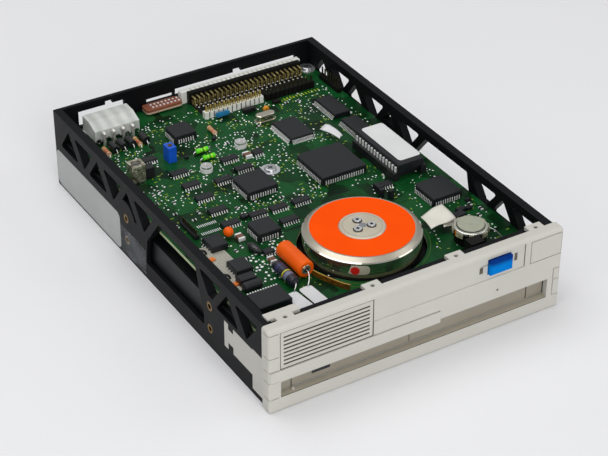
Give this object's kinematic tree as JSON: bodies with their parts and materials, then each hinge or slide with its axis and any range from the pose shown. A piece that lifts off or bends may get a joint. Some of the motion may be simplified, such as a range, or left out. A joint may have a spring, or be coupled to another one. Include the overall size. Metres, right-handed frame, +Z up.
{
  "type": "optical disk drive",
  "caption": "Half-height 5.25-inch optical disk drive with its top cover off: open truss frame, circuit board, flat motor, and a front bezel with louvres, dust door and eject button.",
  "frame": {"origin": "bottom centre of the bounding box, under the drive", "axes": "+X to the right seen from the front, +Y to the rear, +Z up"},
  "size_m": [0.149, 0.2106, 0.042],
  "materials": {
    "frame_black": "moulded, fine grain",
    "sheet_steel": "zinc-plated sheet",
    "screw_steel": "plated screws",
    "brass": "turned",
    "bezel_grey": "warm light grey moulding",
    "door_taupe": "taupe moulding",
    "button_blue": "blue moulding",
    "black_plastic": "moulded",
    "clear_plastic": "smoked light guide",
    "lamp_plastic": "lamp body",
    "deck_black": "black coated casting",
    "board_green": "solder mask on glass laminate",
    "nylon_white": "nylon",
    "tin_pins": "tinned",
    "block_brown": "brown moulding",
    "gold_pins": "gold-plated pins",
    "chip_black": "moulded package",
    "trimmer_blue": "blue body",
    "ceramic_white": "ceramic",
    "tin_can": "tinned can",
    "ferrite": "ferrite",
    "capacitor_orange": "dipped",
    "inductor_blue": "dark blue with colour bands",
    "resistor_tan": "tan with colour bands",
    "resistor_green": "green with colour bands",
    "motor_alloy": "satin turned",
    "bearing_steel": "ground",
    "stator_steel": "laminated",
    "can_chrome": "polished rim",
    "label_orange": "printed paper"
  },
  "bodies": {
    "drive": {"actuator_body": "black_plastic", "actuator_can": "tin_can", "banded_inductor": "inductor_blue", "board_screws": "screw_steel", "bottom_cover": "sheet_steel", "chassis_frame": "frame_black", "chip_carriers": "chip_black", "circuit_board": "board_green", "coil_can": "tin_can", "cover_screws": "screw_steel", "crystal_can": "tin_can", "dark_strips": "black_plastic", "diodes": "chip_black", "door_end_pieces": "door_taupe", "driver_chips": "chip_black", "eject_switch": "black_plastic", "eprom_chip": "chip_black", "eprom_socket": "black_plastic", "film_capacitor": "capacitor_orange", "front_bezel": "bezel_grey", "green_resistors": "resistor_green", "indicator_lamps": "lamp_plastic", "jumper_block": "block_brown", "light_pipes": "clear_plastic", "logic_chips": "chip_black", "mechanism_deck": "deck_black", "memory_chips": "chip_black", "motor_base": "motor_alloy", "motor_bearings": "bearing_steel", "motor_stator": "stator_steel", "power_connector": "nylon_white", "power_packages": "chip_black", "power_pins": "tin_pins", "processor_chip": "chip_black", "quad_package": "chip_black", "resistors": "resistor_tan", "signal_header": "nylon_white", "signal_pins": "gold_pins", "sled_rails": "bearing_steel", "sled_yokes": "stator_steel", "tantalum_bead": "capacitor_orange", "terminator_sockets": "nylon_white", "test_posts": "gold_pins", "thread_inserts": "brass", "trimmer_capacitor_bases": "ceramic_white", "trimmer_pot": "trimmer_blue", "vent_grille": "bezel_grey"},
    "bay_door": {"bay_door": "door_taupe"},
    "eject_button": {"eject_button": "button_blue"},
    "rotor": {"motor_can": "can_chrome", "motor_label": "label_orange", "motor_hub": "motor_alloy", "motor_hub_screws": "screw_steel", "spindle": "bearing_steel"},
    "carriage": {"optical_sled": "motor_alloy"},
    "lens": {"objective_lens": "black_plastic"},
    "trimmer_screw": {"trimmer_screw": "brass"},
    "left_trimmer": {"trimmer_rotor_left": "tin_pins"},
    "right_trimmer": {"trimmer_rotor_right": "tin_pins"},
    "slug": {"coil_slug": "ferrite"}
  },
  "joints": [
    {"name": "spindle_spin", "type": "hinge", "parent": "drive", "child": "rotor", "pos_m": [0.0032, -0.05165, 0.03], "axis": [0, 0, 1], "continuous": true},
    {"name": "door_swing", "type": "hinge", "parent": "drive", "child": "bay_door", "pos_m": [0, -0.09955, 0.016], "axis": [1, 0, 0], "range_deg": [0, 75], "stiffness_Nm_per_rad": 0.002, "springref_deg": -17.19},
    {"name": "button_press", "type": "slide", "parent": "drive", "child": "eject_button", "axis": [0, 1, 0], "range_m": [0, 0.002], "stiffness_N_per_m": 300, "springref_m": -0.001},
    {"name": "sled_travel", "type": "slide", "parent": "drive", "child": "carriage", "axis": [0, 1, 0], "range_m": [-0.005, 0.022]},
    {"name": "lens_focus", "type": "slide", "parent": "carriage", "child": "lens", "axis": [0, 0, 1], "range_m": [-0.0003, 0.0003], "stiffness_N_per_m": 120},
    {"name": "trimmer_turn", "type": "hinge", "parent": "drive", "child": "trimmer_screw", "pos_m": [-0.0366, 0.05425, 0.036], "axis": [0, 0, 1], "continuous": true},
    {"name": "left_trimmer_turn", "type": "hinge", "parent": "drive", "child": "left_trimmer", "pos_m": [-0.0266, 0.03685, 0.031], "axis": [0, 0, 1], "continuous": true},
    {"name": "right_trimmer_turn", "type": "hinge", "parent": "drive", "child": "right_trimmer", "pos_m": [-0.002, 0.04785, 0.031], "axis": [0, 0, 1], "continuous": true},
    {"name": "slug_turn", "type": "hinge", "parent": "drive", "child": "slug", "pos_m": [-0.0579, 0.04725, 0.036], "axis": [0, 0, 1], "continuous": true}
  ]
}
